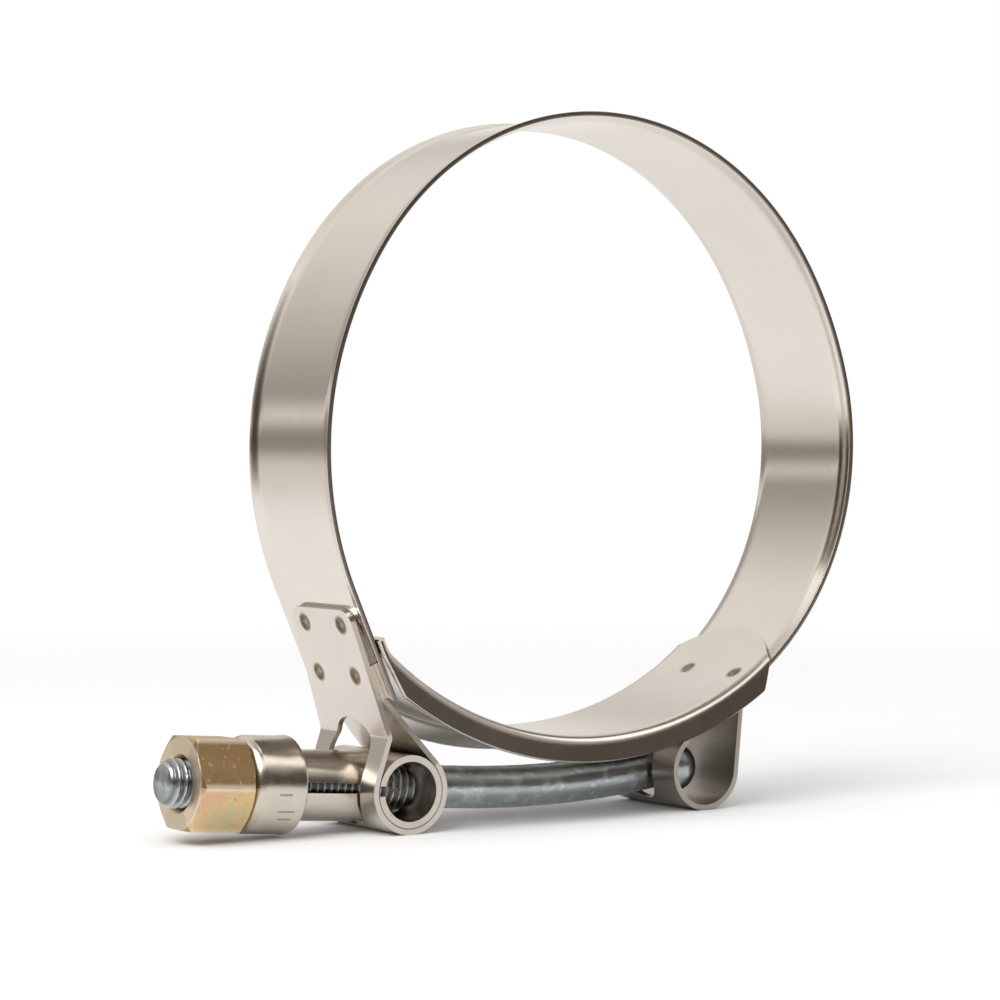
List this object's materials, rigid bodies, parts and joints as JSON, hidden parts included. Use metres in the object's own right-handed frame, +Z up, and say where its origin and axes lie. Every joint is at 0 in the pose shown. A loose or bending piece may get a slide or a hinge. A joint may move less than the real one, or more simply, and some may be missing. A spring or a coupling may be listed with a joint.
{
  "type": "t bolt clamp",
  "caption": "T-bolt hose clamp: rolled-edge steel band, flanged bridge, folded strap loops, split trunnion, collar, hexagon nut and a curved cross-headed bolt that draws the band closed.",
  "frame": {"origin": "centre of the hose seat, on the axis of the band's top arc and half way across the band", "axes": "+Y along the hose axis, +Z up from the bolt to the top of the band, +X from the nut to the cross head of the bolt"},
  "size_m": [0.0995, 0.021, 0.0899],
  "materials": {
    "stainless": "bright",
    "trunnion_steel": "satin nickel",
    "bolt_steel": "blue-grey zinc",
    "nut_steel": "yellow-gold passivated"
  },
  "bodies": {
    "ring": {"band": "stainless", "bridge": "stainless", "bolt_loop": "stainless", "t_bolt": "bolt_steel"},
    "left_end": {"nut_loop": "stainless", "trunnion": "trunnion_steel", "collar": "trunnion_steel"},
    "nut": {"nut": "nut_steel"}
  },
  "joints": [
    {"name": "band_close", "type": "slide", "parent": "ring", "child": "left_end", "axis": [0.9973, 0, -0.0732], "range_m": [-0.002, 0.018], "deforming": ["band", "bridge"]},
    {"name": "nut_turn", "type": "hinge", "parent": "left_end", "child": "nut", "pos_m": [-0.02821, 0, -0.04481], "axis": [0.9973, 0, -0.0732], "range_deg": [-720, 6480]}
  ],
  "couplings": [
    {"joint": "nut_turn", "follows": "band_close", "rad_per_m": 6283.2}
  ]
}
